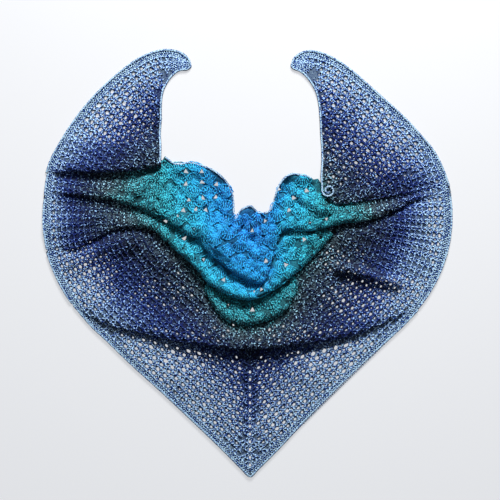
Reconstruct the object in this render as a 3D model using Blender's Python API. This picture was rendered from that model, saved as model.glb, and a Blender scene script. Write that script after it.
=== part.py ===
"""A crocheted triangular shawl, laid flat on a table in a heart shape.

The tips curl in at the top and the middle is bunched up in folds, so the cloth shows as
seven stretches. Each stretch is a wall with a rolled lip where it folds over the next one
below it, and the hidden layers of a fold are one rounded solid inside that lip.
All sizes are in millimetres, with the origin in the middle of the laid shawl, on the table.
"""
import math
from collections import namedtuple

import bpy
import bmesh

MM = 0.001

WALL = 3.0          # crocheted cloth with its raised stitches
LAYER_GAP = 0.4     # air between two stretches that lie on each other
TUCK = 7.0          # how far a stretch runs on under the fold above it
NECK_SHARES = (0.193, 0.755)    # part of the lobes' far edge that is the free neck edge

ROLL = 7.0          # how far back the crest of a rolled lip lies from its front
ROLL_ROWS = (0.03, 0.35, 1.0)   # rows of points from a lip's front back to its crest
CREST_ROW = 2       # number of the row on the crest
LONGEST_ROLL = 0.3  # share of a short line that its lip may take up
STEP_START = 10.5   # behind a lip the underside drops back to the table from here
STEP_END = 13.0
SHORT_STEP = (0.64, 0.8)        # the same two places as shares of a short line
FOLD_REACH = 78.0   # a fold has sunk to the table this far behind its crest
FOLD_SHARE = 0.8    # and within this share of a short line
EDGE_FADE = 16.0    # ridges die out over this width at a tucked edge
LIFT = 0.3          # a lower rise than this leaves the cloth flat on the table
HOLLOW_FADE = 20.0  # the hollow under a ridge opens over this width
LINE_STEPS = 8      # straight steps along one line of a stretch
WING_STEPS = 3      # straight steps between two sections of a wing
SHARP_ANGLE = 50    # degrees between faces, above which an edge is shaded sharp

CORD_RADIUS = 1.5   # crocheted edging, a cord worked along every edge
CORD_INSET = 2.4    # its middle lies this far in from the cloth's edge
CORD_SIDES = 6
CORD_STEP = 4.0     # least distance between two rings of the cord
CORD_STOP = 2       # rows short of a tucked edge at which the cord ends
NECK_CORD_START, NECK_CORD_END, NECK_CORD_LOW = -163.0, 131.0, 88.0
CURL_RADIUS, CURL_HEIGHT, CURL_POINTS = 10.0, 19.0, 22
CURL_TURN = 500     # degrees that the curled end winds round
CURL_TIGHTEN = 0.72     # share of its radius that it loses on the way

LACE_GAP = 9.0      # side of the triangular gaps between two fans
GAP_DEPTH = 80.0    # length of the cutters, well past both faces of any fold

Section = namedtuple("Section", "low_x low_y high_x high_y lip bow")
Ridge = namedtuple("Ridge", "start_x start_y end_x end_y height width")
Gap = namedtuple("Gap", "x y turn")
Lip = namedtuple("Lip", "x y height")
Plan = namedtuple("Plan", "name lines rows color")

# Below the longest fold: from the outer edge up to the fold's lip.
LOWER_POINT = [
    Section(-332, -109, -326, -100, 3, 0),
    Section(-316, -126, -301, -112, 3, 0),
    Section(-283, -157, -259, -125, 3, 0),
    Section(-231, -207, -203, -137, 3, 0),
    Section(-171, -261, -143, -153, 3, 0),
    Section(-111, -317, -87, -161, 3, 0),
    Section(-55, -371, -43, -167, 3, 0),
    Section(-15, -411, -15, -169, 3, 0),
    Section(5, -429, 5, -170, 3, 0),
    Section(23, -413, 25, -169, 3, 0),
    Section(67, -369, 57, -167, 3, 0),
    Section(123, -309, 105, -160, 3, 0),
    Section(181, -251, 161, -151, 3, 0),
    Section(237, -197, 213, -139, 3, 0),
    Section(285, -153, 261, -123, 3, 0),
    Section(317, -123, 301, -107, 3, 0),
    Section(337, -101, 333, -93, 3, 0),
]

# From the longest fold's lip up to the folds round the lace.
MIDDLE_NET = [
    Section(-353, -81, -403, 23, 7, 5),
    Section(-335, -93, -375, 29, 8, 1),
    Section(-305, -109, -343, 31, 11, 0),
    Section(-271, -123, -307, 49, 15, 0),
    Section(-227, -133, -271, 67, 19, 0),
    Section(-183, -143, -235, 73, 22, 0),
    Section(-143, -153, -195, 71, 25, 0),
    Section(-103, -159, -167, 47, 27, 0),
    Section(-75, -163, -135, 19, 28, 0),
    Section(-59, -166, -107, -9, 28, 0),
    Section(-43, -167, -83, -57, 28, 0),
    Section(-27, -169, -55, -101, 28, 0),
    Section(-7, -169, -23, -119, 28, 0),
    Section(13, -169, 9, -121, 28, 0),
    Section(37, -169, 41, -111, 28, 0),
    Section(69, -165, 73, -95, 28, 0),
    Section(101, -161, 97, -61, 27, 0),
    Section(133, -155, 113, -13, 25, 0),
    Section(165, -151, 145, 27, 23, 0),
    Section(197, -145, 181, 66, 21, 0),
    Section(225, -137, 205, 81, 18, 0),
    Section(253, -125, 237, 85, 15, 0),
    Section(277, -115, 269, 97, 12, 0),
    Section(299, -107, 299, 108, 10, 0),
    Section(321, -97, 329, 125, 8, -2),
    Section(333, -93, 365, 135, 7, -8),
    Section(343, -91, 407, 141, 7, -26),
]

# The dark teal band that shows under the bright one.
TEAL_BAND = [
    Section(-89, -47, -75, -39, 8, 0),
    Section(-75, -73, -59, -51, 11, 0),
    Section(-59, -97, -39, -61, 14, 0),
    Section(-39, -114, -21, -68, 15, 0),
    Section(-15, -121, -5, -71, 15, 0),
    Section(9, -121, 9, -72, 15, 0),
    Section(33, -115, 29, -67, 15, 0),
    Section(57, -104, 49, -54, 14, 0),
    Section(77, -91, 67, -42, 13, 0),
    Section(91, -69, 83, -29, 11, 0),
    Section(101, -51, 95, -18, 9, 0),
]

# The bright band of fans that hangs in a V, and the fold that leads to it from the left.
FAN_BAND = [
    Section(-403, 27, -407, 135, 7, 5),
    Section(-375, 29, -381, 135, 9, 0),
    Section(-343, 31, -351, 137, 13, 0),
    Section(-307, 49, -319, 133, 15, 0),
    Section(-271, 67, -283, 129, 16, 0),
    Section(-235, 73, -247, 121, 17, 0),
    Section(-203, 73, -215, 111, 18, 0),
    Section(-183, 65, -183, 99, 18, 0),
    Section(-167, 49, -155, 85, 19, 0),
    Section(-147, 31, -131, 67, 20, 0),
    Section(-127, 15, -111, 53, 22, 0),
    Section(-111, 1, -93, 45, 23, 0),
    Section(-95, -17, -79, 25, 24, 0),
    Section(-77, -39, -63, 11, 25, 0),
    Section(-55, -53, -43, -5, 26, 0),
    Section(-31, -65, -19, -23, 26, 0),
    Section(-7, -71, 5, -35, 26, 0),
    Section(17, -69, 25, -38, 25, 0),
    Section(41, -59, 45, -24, 24, 0),
    Section(63, -45, 57, 3, 22, 0),
    Section(85, -27, 65, 28, 20, 0),
    Section(105, -11, 73, 52, 18, 0),
    Section(123, 7, 88, 64, 16, 0),
    Section(141, 26, 111, 66, 14, 0),
    Section(157, 41, 135, 67, 12, 0),
    Section(173, 57, 157, 72, 9, 0),
]

# The upper folds on both sides with the two lobes and the neck edge between them.
NECK_LOBES = [
    Section(-407, 135, -401, 181, 7, 1),
    Section(-381, 135, -377, 183, 9, 0),
    Section(-351, 137, -347, 184, 13, 0),
    Section(-319, 133, -315, 181, 16, 0),
    Section(-283, 129, -279, 183, 18, 0),
    Section(-247, 121, -243, 184, 19, 0),
    Section(-215, 111, -207, 189, 20, 0),
    Section(-183, 99, -183, 187, 21, 0),
    Section(-170, 93, -166, 200, 22, 0),
    Section(-157, 86, -160, 212, 22, 0),
    Section(-135, 70, -141, 200, 22, 0),
    Section(-115, 56, -115, 204, 21, 0),
    Section(-99, 51, -89, 197, 19, 0),
    Section(-89, 41, -67, 188, 18, 0),
    Section(-81, 27, -47, 172, 19, 0),
    Section(-71, 16, -33, 153, 21, 0),
    Section(-59, 8, -26, 129, 22, 0),
    Section(-45, -4, -24, 91, 23, 0),
    Section(-29, -16, -18, 105, 24, 0),
    Section(-11, -27, -3, 115, 24, 0),
    Section(7, -35, 9, 116, 23, 0),
    Section(23, -39, 21, 105, 20, 0),
    Section(35, -31, 35, 103, 16, 0),
    Section(43, -9, 46, 111, 12, 0),
    Section(51, 13, 52, 131, 10, 0),
    Section(57, 35, 59, 153, 11, 0),
    Section(64, 57, 71, 171, 13, 0),
    Section(77, 68, 89, 181, 15, 0),
    Section(101, 66, 111, 178, 17, 0),
    Section(127, 66, 127, 173, 19, 0),
    Section(151, 71, 140, 155, 21, 0),
    Section(170, 76, 153, 133, 23, 0),
    Section(195, 82, 179, 118, 24, 0),
    Section(221, 84, 209, 121, 24, 0),
    Section(249, 89, 241, 127, 22, 0),
    Section(277, 99, 273, 132, 19, 0),
    Section(305, 111, 305, 137, 15, 0),
    Section(331, 126, 333, 145, 11, 0),
    Section(365, 135, 369, 151, 8, 0),
    Section(407, 141, 404, 155, 7, 0),
]

# Each wing starts at its lip and runs up to its tip in sections across it, which go from
# its outer edge to its inner edge.
LEFT_WING_LIP = [
    Lip(-404, 181, 7),
    Lip(-377, 183, 14),
    Lip(-347, 185, 19),
    Lip(-312, 182, 22),
    Lip(-277, 183, 23),
    Lip(-243, 184, 24),
    Lip(-208, 188, 24),
    Lip(-172, 192, 20),
]
LEFT_WING = [
    Section(-398, 201, -171, 211, 0, 0),
    Section(-389, 221, -171, 235, 0, 0),
    Section(-375, 245, -173, 259, 0, 0),
    Section(-359, 271, -171, 287, 0, 0),
    Section(-337, 302, -171, 311, 0, 0),
    Section(-311, 333, -170, 329, 0, 0),
    Section(-283, 361, -167, 345, 0, 0),
    Section(-253, 387, -161, 358, 0, 0),
    Section(-223, 409, -153, 370, 0, 0),
    Section(-193, 423, -143, 380, 0, 0),
    Section(-167, 429, -133, 385, 0, 0),
    Section(-143, 427, -123, 385, 0, 0),
    Section(-125, 419, -116, 388, 0, 0),
    Section(-114, 407, -111, 393, 0, 0),
]

RIGHT_WING_LIP = [
    Lip(405, 155, 7),
    Lip(369, 151, 8),
    Lip(327, 142, 8),
    Lip(285, 134, 9),
    Lip(243, 127, 11),
    Lip(206, 121, 14),
    Lip(176, 120, 15),
    Lip(158, 130, 14),
    Lip(147, 146, 12),
]
RIGHT_WING = [
    Section(397, 179, 145, 173, 0, 0),
    Section(386, 205, 147, 203, 0, 0),
    Section(370, 232, 147, 231, 0, 0),
    Section(348, 257, 145, 259, 0, 0),
    Section(324, 284, 144, 287, 0, 0),
    Section(297, 310, 142, 313, 0, 0),
    Section(269, 335, 138, 335, 0, 0),
    Section(241, 360, 132, 350, 0, 0),
    Section(211, 386, 124, 363, 0, 0),
    Section(182, 407, 114, 375, 0, 0),
    Section(151, 422, 104, 383, 0, 0),
    Section(123, 427, 95, 386, 0, 0),
    Section(103, 421, 89, 389, 0, 0),
    Section(90, 410, 85, 395, 0, 0),
]

# Smaller folds and crumples, as soft ridges on the stretch they lie in.
RIDGES = {
    "lower_point": [
        Ridge(-250, -170, -110, -245, 3, 30),
        Ridge(90, -225, 240, -165, 3, 28),
    ],
    "middle_net": [
        Ridge(-345, 5, -235, 48, 12, 20),
        Ridge(-225, 40, -165, 0, 7, 18),
        Ridge(185, -8, 305, -36, 10, 14),
        Ridge(200, 55, 345, 95, 8, 26),
        Ridge(120, -60, 180, -70, 5, 22),
    ],
    "teal_band": [],
    "fan_band": [
        Ridge(-390, 70, -300, 98, 6, 18),
        Ridge(52, -35, 60, 40, 7, 14),
        Ridge(80, 50, 140, 52, 6, 12),
    ],
    "neck_lobes": [
        Ridge(-135, 190, -60, 178, 8, 14),
        Ridge(-50, 168, -32, 110, 9, 13),
        Ridge(-235, 150, -165, 160, 7, 14),
        Ridge(-110, 120, -60, 70, 6, 30),
        Ridge(-30, 90, -50, 40, 10, 11),
        Ridge(-8, 100, -22, 50, 11, 11),
        Ridge(8, 112, 12, 60, 12, 11),
        Ridge(-12, 48, 18, 20, 8, 14),
        Ridge(34, 96, 30, 30, 10, 12),
        Ridge(52, 140, 66, 172, 10, 12),
        Ridge(80, 178, 138, 166, 9, 12),
        Ridge(58, 120, 50, 60, 8, 13),
        Ridge(104, 140, 150, 112, 11, 14),
        Ridge(150, 112, 230, 104, 10, 12),
    ],
    "left_wing": [
        Ridge(-350, 240, -200, 232, 5, 24),
        Ridge(-180, 290, -172, 330, 3, 20),
    ],
    "right_wing": [
        Ridge(180, 190, 330, 185, 6, 26),
        Ridge(230, 230, 330, 250, 4, 30),
    ],
}

# Gaps at the feet of the fans where two rows of lace meet.
LACE_GAPS = {
    "neck_lobes": [
        Gap(-123, 183, 0), Gap(-91, 183, 0), Gap(-123, 159, 0), Gap(-91, 163, 0),
        Gap(-117, 127, 0), Gap(-89, 131, 0), Gap(-63, 133, 0), Gap(-83, 107, -20),
        Gap(91, 131, 20), Gap(83, 107, 20), Gap(35, 85, 30), Gap(9, 65, 0),
        Gap(-103, 108, -20), Gap(-62, 158, -10), Gap(118, 146, 15), Gap(37, 5, 10),
        Gap(62, 148, 25), Gap(-128, 106, -10),
    ],
    "fan_band": [
        Gap(-163, 85, -35), Gap(-126, 50, -40), Gap(-88, 8, -42), Gap(-47, -32, -30),
        Gap(113, 49, 35), Gap(147, 53, 35), Gap(76, -2, 40), Gap(28, -52, 20),
    ],
    "teal_band": [Gap(83, -37, 35), Gap(-40, -84, -30), Gap(10, -92, 0)],
}


def spline(values, position):
    """A smooth curve through evenly numbered values, as a Catmull-Rom spline."""
    last = len(values) - 1
    position = min(max(position, 0.0), last)
    index = min(int(position), last - 1)
    f = position - index
    before = values[max(index - 1, 0)]
    start, end = values[index], values[index + 1]
    after = values[min(index + 2, last)]
    return 0.5 * (2 * start + (end - before) * f
                  + (2 * before - 5 * start + 4 * end - after) * f * f
                  + (3 * start - before - 3 * end + after) * f ** 3)


def smoothstep(value):
    value = min(max(value, 0.0), 1.0)
    return value * value * (3 - 2 * value)


def section_at(sections, share):
    """The section at a share of the way through a table, from 0 to 1."""
    position = share * (len(sections) - 1)
    return Section(*[spline([row[k] for row in sections], position)
                     for k in range(len(Section._fields))])


def point_on(section, share):
    """A point on the line from a section's low end to its high end, with its bow."""
    dx, dy = section.high_x - section.low_x, section.high_y - section.low_y
    length = math.hypot(dx, dy)
    bow = section.bow * 4 * share * (1 - share)
    return (section.low_x + dx * share - dy / length * bow,
            section.low_y + dy * share + dx / length * bow)


def ridge_height(name, x, y):
    total = 0.0
    for ridge in RIDGES[name]:
        dx, dy = ridge.end_x - ridge.start_x, ridge.end_y - ridge.start_y
        along = ((x - ridge.start_x) * dx + (y - ridge.start_y) * dy) / (dx * dx + dy * dy)
        nearest = min(max(along, 0.0), 1.0)
        off = math.hypot(x - ridge.start_x - dx * nearest, y - ridge.start_y - dy * nearest)
        total += ridge.height * math.exp(-(off / ridge.width) ** 2)
    return total


class Line:
    """One line of a stretch, from its lip at the low end to its far end."""

    def __init__(self, points, lip, tucked, free_lip=False):
        self.points = points
        self.steps = [math.dist(a, b) for a, b in zip(points, points[1:])]
        self.length = sum(self.steps)
        self.lip = lip
        self.tucked = tucked
        self.free_lip = free_lip

    def place(self, distance):
        """The point at a distance from the lip, run on straight past the far end."""
        for start, end, step in zip(self.points, self.points[1:], self.steps):
            if distance <= step:
                break
            distance -= step
        else:
            distance += step
        share = distance / step
        return start[0] + (end[0] - start[0]) * share, start[1] + (end[1] - start[1]) * share

    def rows(self, count):
        """The lip's roll, the step behind it, and the distance of every row of points."""
        roll = min(ROLL, LONGEST_ROLL * self.length)
        if self.free_lip:
            roll = min(WALL / 2, roll)
        start, end = STEP_START, STEP_END
        if end > SHORT_STEP[1] * self.length:
            start, end = [share * self.length for share in SHORT_STEP]
        if not self.tucked:
            count += 1
        front = [share * roll for share in ROLL_ROWS]
        rest = [end + (self.length - end) * k / count for k in range(1, count + 1)]
        tail = [self.length + TUCK] if self.tucked else []
        return roll, start, end, front + [start, end] + rest + tail


def surfaces(name, line, rows):
    """Top and bottom points of a stretch along one of its lines."""
    roll, start, end, distances = line.rows(rows)
    under = 0.0 if line.free_lip else WALL + LAYER_GAP
    crest = max(line.lip, under + WALL)
    middle, rise = (crest + under) / 2, (crest - under) / 2
    reach = min(FOLD_REACH, FOLD_SHARE * (line.length - roll))
    top, bottom = [], []
    for distance in distances:
        x, y = line.place(distance)
        if distance < roll:
            turn = math.sqrt(1 - (1 - distance / roll) ** 2)
            top.append((x, y, middle + rise * turn))
            bottom.append((x, y, middle - rise * turn))
            continue
        sunk = smoothstep((distance - roll) / reach)
        height = WALL + (crest - WALL) * (1 - sunk)
        fade = smoothstep((distance - roll) / EDGE_FADE)
        if line.tucked:
            fade *= smoothstep((line.length - distance) / EDGE_FADE)
        height += ridge_height(name, x, y) * fade
        if distance <= start:
            low = under
        else:
            hollow = smoothstep((distance - end) / HOLLOW_FADE)
            low = max(0.0, height - WALL - LIFT) * hollow
        top.append((x, y, max(height, low + WALL)))
        bottom.append((x, y, low))
    return top, bottom


def add_mesh(name, verts, faces, color, collection):
    mesh = bpy.data.meshes.new(name)
    mesh.from_pydata([(x * MM, y * MM, z * MM) for x, y, z in verts], [], faces)
    shape = bmesh.new()
    shape.from_mesh(mesh)
    bmesh.ops.recalc_face_normals(shape, faces=shape.faces)
    shape.to_mesh(mesh)
    shape.free()
    mesh.shade_smooth()
    mesh.set_sharp_from_angle(angle=math.radians(SHARP_ANGLE))
    mesh.materials.append(yarn(name, color))
    made = bpy.data.objects.new(name, mesh)
    collection.objects.link(made)
    return made


def yarn(name, color):
    material = bpy.data.materials.new(name + "_yarn")
    material.use_nodes = True
    shader = material.node_tree.nodes["Principled BSDF"]
    shader.inputs["Base Color"].default_value = (*color, 1)
    shader.inputs["Roughness"].default_value = 0.9
    shader.inputs["Metallic"].default_value = 0.0
    return material


def wall(name, tops, bottoms, color, collection):
    """A closed wall between a grid of top points and the same grid of bottom points."""
    lines, rows = len(tops), len(tops[0])
    verts = [p for line in tops for p in line] + [p for line in bottoms for p in line]
    shift = lines * rows
    faces = []
    for i in range(lines - 1):
        for j in range(rows - 1):
            a, b = i * rows + j, (i + 1) * rows + j
            faces.append((a, b, b + 1, a + 1))
            faces.append((a + shift, a + 1 + shift, b + 1 + shift, b + shift))
    rim = [i * rows for i in range(lines)]
    rim += [(lines - 1) * rows + j for j in range(1, rows)]
    rim += [i * rows + rows - 1 for i in range(lines - 2, -1, -1)]
    rim += [j for j in range(rows - 2, 0, -1)]
    for a, b in zip(rim, rim[1:] + rim[:1]):
        faces.append((a, a + shift, b + shift, b))
    return add_mesh(name, verts, faces, color, collection)


def cord(name, route, color, collection):
    """The crocheted edging, a cord laid on points of the cloth's edge, moved up and in."""
    verts, faces = [], []
    for index, (x, y, z) in enumerate(route):
        before, after = route[max(index - 1, 0)], route[min(index + 1, len(route) - 1)]
        heading = math.atan2(after[1] - before[1], after[0] - before[0])
        for side in range(CORD_SIDES):
            turn = 2 * math.pi * (side + 0.5) / CORD_SIDES
            out = CORD_RADIUS * math.cos(turn)
            verts.append((x - out * math.sin(heading), y + out * math.cos(heading),
                          z + CORD_RADIUS * math.sin(turn)))
    for ring in range(len(route) - 1):
        for side in range(CORD_SIDES):
            a = ring * CORD_SIDES + side
            b = ring * CORD_SIDES + (side + 1) % CORD_SIDES
            faces.append((a, b, b + CORD_SIDES, a + CORD_SIDES))
    faces.append(tuple(range(CORD_SIDES)))
    faces.append(tuple(len(verts) - 1 - side for side in range(CORD_SIDES)))
    return add_mesh(name, verts, faces, color, collection)


def along_edge(edge, inner, side):
    """Route of an edging: the edge's points moved in to one side, and up off the cloth.

    side is 1 where the cloth lies to the left of the edge and -1 where it lies to the right.
    """
    kept = [0]
    for k in range(1, len(edge)):
        if math.dist(edge[k][:2], edge[kept[-1]][:2]) > CORD_STEP:
            kept.append(k)
    route = []
    for place, k in enumerate(kept):
        before = edge[kept[max(place - 1, 0)]]
        after = edge[kept[min(place + 1, len(kept) - 1)]]
        heading = math.atan2(after[1] - before[1], after[0] - before[0])
        x, y, z = edge[k]
        route.append((x - side * CORD_INSET * math.sin(heading),
                      y + side * CORD_INSET * math.cos(heading),
                      max(z, inner[k][2]) + LAYER_GAP + CORD_RADIUS))
    return route


def curl(start):
    """The end of the right neck edging, which stands up and curls in on itself."""
    points = []
    for k in range(1, CURL_POINTS + 1):
        share = k / CURL_POINTS
        turn = math.pi + math.radians(CURL_TURN * share)
        radius = CURL_RADIUS * (1 - CURL_TIGHTEN * share)
        points.append((start[0] + CURL_RADIUS + radius * math.cos(turn),
                       start[1] + radius * math.sin(turn), CURL_HEIGHT))
    return points


def edgings(grids, color, collection):
    """One edging for each free edge of each stretch."""
    def column(name, line, next_line, side):
        edge = grids[name][line][CREST_ROW:-CORD_STOP]
        inner = grids[name][next_line][CREST_ROW:-CORD_STOP]
        return along_edge(edge, inner, side)

    lower = grids["lower_point"]
    cord("edging_lower", along_edge([line[CREST_ROW] for line in lower],
                                    [line[CREST_ROW + 1] for line in lower], 1),
         color, collection)
    for name in ("middle_net", "fan_band", "neck_lobes"):
        cord("edging_left_" + name, column(name, 0, 1, -1), color, collection)
    cord("edging_right_middle_net", column("middle_net", -1, -2, 1), color, collection)

    neck = [line for line in grids["neck_lobes"]
            if line[-1][0] > NECK_CORD_START and line[-1][0] < NECK_CORD_END
            and line[-1][1] > NECK_CORD_LOW]
    cord("edging_neck", along_edge([line[-1] for line in neck],
                                   [line[-2] for line in neck], -1), color, collection)

    for name, side in (("left_wing", -1), ("right_wing", 1)):
        wing = grids[name]
        down = slice(None, CREST_ROW - 1, -1)
        edge = wing[0][CREST_ROW:] + [line[-1] for line in wing[1:-1]] + wing[-1][down]
        inner = wing[1][CREST_ROW:] + [line[-2] for line in wing[1:-1]] + wing[-2][down]
        route = along_edge(edge, inner, side)
        if name == "right_wing":
            route = route[:-1] + curl(route[-2])
        cord("edging_" + name, route, color, collection)


def cut_gaps(made, gaps, cutters):
    """Cut the triangular lace gaps straight down through a stretch."""
    shape = bmesh.new()
    half = LACE_GAP / math.sqrt(3)
    for gap in gaps:
        rings = []
        for z in (-GAP_DEPTH / 2, GAP_DEPTH / 2):
            ring = []
            for corner in range(3):
                angle = math.radians(gap.turn + 90 + 120 * corner)
                ring.append(shape.verts.new(((gap.x + half * math.cos(angle)) * MM,
                                             (gap.y + half * math.sin(angle)) * MM, z * MM)))
            rings.append(ring)
        low, high = rings
        shape.faces.new(low[::-1])
        shape.faces.new(high)
        for k in range(3):
            shape.faces.new((low[k], low[(k + 1) % 3], high[(k + 1) % 3], high[k]))
    mesh = bpy.data.meshes.new(made.name + "_gaps")
    shape.to_mesh(mesh)
    shape.free()
    cutter = bpy.data.objects.new(made.name + "_gaps", mesh)
    cutter.hide_render = True
    cutter.display_type = "WIRE"
    cutters.objects.link(cutter)
    cut = made.modifiers.new("lace gaps", "BOOLEAN")
    cut.operation = "DIFFERENCE"
    cut.solver = "EXACT"
    cut.object = cutter


def strip_lines(sections, count, open_edge=(2, 3), free_lip=False):
    """Lines of a stretch whose sections run from its lip to its far edge.

    Between the two shares of open_edge the far edge is free, and elsewhere it is tucked.
    """
    lines = []
    for k in range(count):
        share = k / (count - 1)
        section = section_at(sections, share)
        points = [point_on(section, step / LINE_STEPS) for step in range(LINE_STEPS + 1)]
        tucked = not open_edge[0] < share < open_edge[1]
        lines.append(Line(points, section.lip, tucked, free_lip))
    return lines


def wing_lines(sections, lips, count):
    """Lines of a wing, from its lip along the wing to its tip, side by side across it."""
    lines = []
    steps = WING_STEPS * (len(sections) - 1)
    across = [section_at(sections, k / steps) for k in range(steps + 1)]
    for k in range(count):
        share = k / (count - 1)
        x, y, height = [spline([lip[c] for lip in lips], share * (len(lips) - 1))
                        for c in range(3)]
        points = [(x, y)] + [point_on(section, share) for section in across]
        lines.append(Line(points, height, False))
    return lines


def stretch(name, lines, rows, color, collection):
    tops, bottoms = [], []
    for line in lines:
        top, bottom = surfaces(name, line, rows)
        tops.append(top)
        bottoms.append(bottom)
    return wall(name, tops, bottoms, color, collection), tops


def clear_scene():
    for old in list(bpy.data.objects):
        bpy.data.objects.remove(old, do_unlink=True)


def build():
    clear_scene()
    shawl = bpy.data.collections.new("crochet_shawl")
    cutters = bpy.data.collections.new("cutters")
    bpy.context.scene.collection.children.link(shawl)
    bpy.context.scene.collection.children.link(cutters)

    pale, navy, black = (0.30, 0.38, 0.58), (0.045, 0.065, 0.23), (0.03, 0.035, 0.06)
    deep_teal, teal, blue = (0.03, 0.20, 0.24), (0.03, 0.33, 0.42), (0.02, 0.28, 0.55)
    edge_blue = (0.42, 0.50, 0.68)

    plans = [
        Plan("lower_point", strip_lines(LOWER_POINT, 33, free_lip=True), 6, pale),
        Plan("middle_net", strip_lines(MIDDLE_NET, 40), 7, navy),
        Plan("teal_band", strip_lines(TEAL_BAND, 17), 3, deep_teal),
        Plan("fan_band", strip_lines(FAN_BAND, 41), 4, teal),
        Plan("left_wing", wing_lines(LEFT_WING, LEFT_WING_LIP, 13), 12, navy),
        Plan("right_wing", wing_lines(RIGHT_WING, RIGHT_WING_LIP, 14), 12, black),
        Plan("neck_lobes", strip_lines(NECK_LOBES, 58, open_edge=NECK_SHARES), 7, blue),
    ]
    grids = {}
    for plan in plans:
        made, grids[plan.name] = stretch(plan.name, plan.lines, plan.rows, plan.color, shawl)
        if plan.name in LACE_GAPS:
            cut_gaps(made, LACE_GAPS[plan.name], cutters)
    edgings(grids, edge_blue, shawl)


build()
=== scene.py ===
"""A crocheted triangular shawl, laid flat in a heart shape and seen from straight above.

Lengths are in millimetres up to the point where a mesh is made, and +Y is up in the picture.
The cloth is laid out on a flat pattern, which each of its seven stretches wraps onto its
folds, so that rows of stitches run on over a rolled lip and down its front.
"""
import math
from collections import namedtuple

import bpy
import numpy as np
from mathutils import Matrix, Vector
from mathutils.bvhtree import BVHTree
from mathutils.geometry import delaunay_2d_cdt


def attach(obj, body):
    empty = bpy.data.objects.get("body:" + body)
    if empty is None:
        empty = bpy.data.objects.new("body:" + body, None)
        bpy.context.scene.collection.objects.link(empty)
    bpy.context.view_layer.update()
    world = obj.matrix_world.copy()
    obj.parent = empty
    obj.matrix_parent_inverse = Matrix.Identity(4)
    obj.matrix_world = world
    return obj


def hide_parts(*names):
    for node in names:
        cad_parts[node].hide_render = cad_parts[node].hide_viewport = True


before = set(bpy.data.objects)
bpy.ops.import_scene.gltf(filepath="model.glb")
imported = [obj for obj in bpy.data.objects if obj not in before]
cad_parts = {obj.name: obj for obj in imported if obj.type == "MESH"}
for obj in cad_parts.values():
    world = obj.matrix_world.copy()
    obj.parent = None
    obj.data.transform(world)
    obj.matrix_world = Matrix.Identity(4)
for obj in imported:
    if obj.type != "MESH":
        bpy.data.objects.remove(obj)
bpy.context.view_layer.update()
MM = 0.001
chance = np.random.default_rng(7)

# Camera: straight above the table, with one metre of table across the picture.
view = bpy.data.objects.new("camera", bpy.data.cameras.new("camera"))
bpy.context.scene.collection.objects.link(view)
view.location = (0.005, 0.027, 3.0)
view.data.sensor_width = 36
view.data.lens = 108
bpy.context.scene.camera = view

# Light: a wide soft lamp beyond the top of the picture, a weak one overhead, a pale room.
for name, place, size, watts in (("window", (0.25, 1.95, 1.5), 0.8, 96),
                                 ("ceiling", (-0.1, 0.35, 2.6), 1.4, 5)):
    light = bpy.data.objects.new(name, bpy.data.lights.new(name, "AREA"))
    bpy.context.scene.collection.objects.link(light)
    light.location = place
    light.data.size = size
    light.data.energy = watts
    light.rotation_euler = (-Vector(place)).to_track_quat("-Z", "Y").to_euler()
room = bpy.data.worlds.new("room")
room.use_nodes = True
room.node_tree.nodes["Background"].inputs["Color"].default_value = (0.9, 0.94, 1.0, 1)
room.node_tree.nodes["Background"].inputs["Strength"].default_value = 0.06
bpy.context.scene.world = room
bpy.context.scene.view_settings.view_transform = "Standard"

# Floor: a smooth white table, large enough for every view.
table_mesh = bpy.data.meshes.new("table")
table_mesh.from_pydata([(x, y, -0.0003) for x, y in ((-4, -4), (4, -4), (4, 4), (-4, 4))],
                       [], [(0, 1, 2, 3)])
table = bpy.data.objects.new("table", table_mesh)
bpy.context.scene.collection.objects.link(table)
table_white = bpy.data.materials.new("table_white")
table_white.use_nodes = True
shader = table_white.node_tree.nodes["Principled BSDF"]
shader.inputs["Base Color"].default_value = (0.26, 0.262, 0.268, 1)
shader.inputs["Emission Color"].default_value = (0.94, 0.96, 1.0, 1)
shader.inputs["Emission Strength"].default_value = 0.6
shader.inputs["Roughness"].default_value = 0.7
table_mesh.materials.append(table_white)

# The folds: each stretch is a table of sections from its lip to its far edge, with the
# height of the lip and the bow of the section, as the cloth lies on the table. MAKES has the
# lines of each grid, the runs in which its fold fades in and out, and its hidden tail.
Make = namedtuple("Make", "lines fade_start fade_end tail held slot")
MAKES = {
    "lower_point": Make(97, 0, 0, 9, "laid", "pale_net"),
    "middle_net": Make(105, 64, 60, 24, "folded", "navy_net"),
    "teal_band": Make(41, 0, 0, 12, "folded", "teal_lace"),
    "fan_band": Make(101, 56, 0, 15, "folded", "teal_lace"),
    "neck_lobes": Make(199, 60, 84, 9, "folded", "blue_lace"),
    "left_wing": Make(31, 34, 0, 0, "laid", "navy_net"),
    "right_wing": Make(33, 84, 0, 0, "laid", "black_net"),
}
Section = namedtuple("Section", "low_x low_y high_x high_y lip bow", defaults=(3, 0))
Lip = namedtuple("Lip", "x y height")
Ridge = namedtuple("Ridge", "start_x start_y end_x end_y height width")
Tone = namedtuple("Tone", "share near far bend", defaults=(1,))
Gap = namedtuple("Gap", "x y turn", defaults=(0,))
WALL, LAYER_GAP, LIFT, TUCK, OVERHANG, LOW_EDGE = 3.0, 0.4, 0.3, 7.0, 0.8, 0.6
ROLL, LONGEST_ROLL = 7.0, 0.3
STEP_START, STEP_END, SHORT_STEP = 10.5, 13.0, (0.64, 0.8)
FOLD_REACH, FOLD_SHARE, EDGE_FADE, HOLLOW_FADE = 78.0, 0.8, 16.0, 20.0
NECK_SHARES = (0.193, 0.755)
FLUSH_LIP, FLUSH_UNDER = 3.6, 0.6
FREE_HEIGHT, SPARE_HEIGHT = 23.0, 8.0
TAIL_RUN, TAIL_HEIGHT = 5, 2.0
ROW_STEP, CREASED_STEP = 7, 5.5
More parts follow.
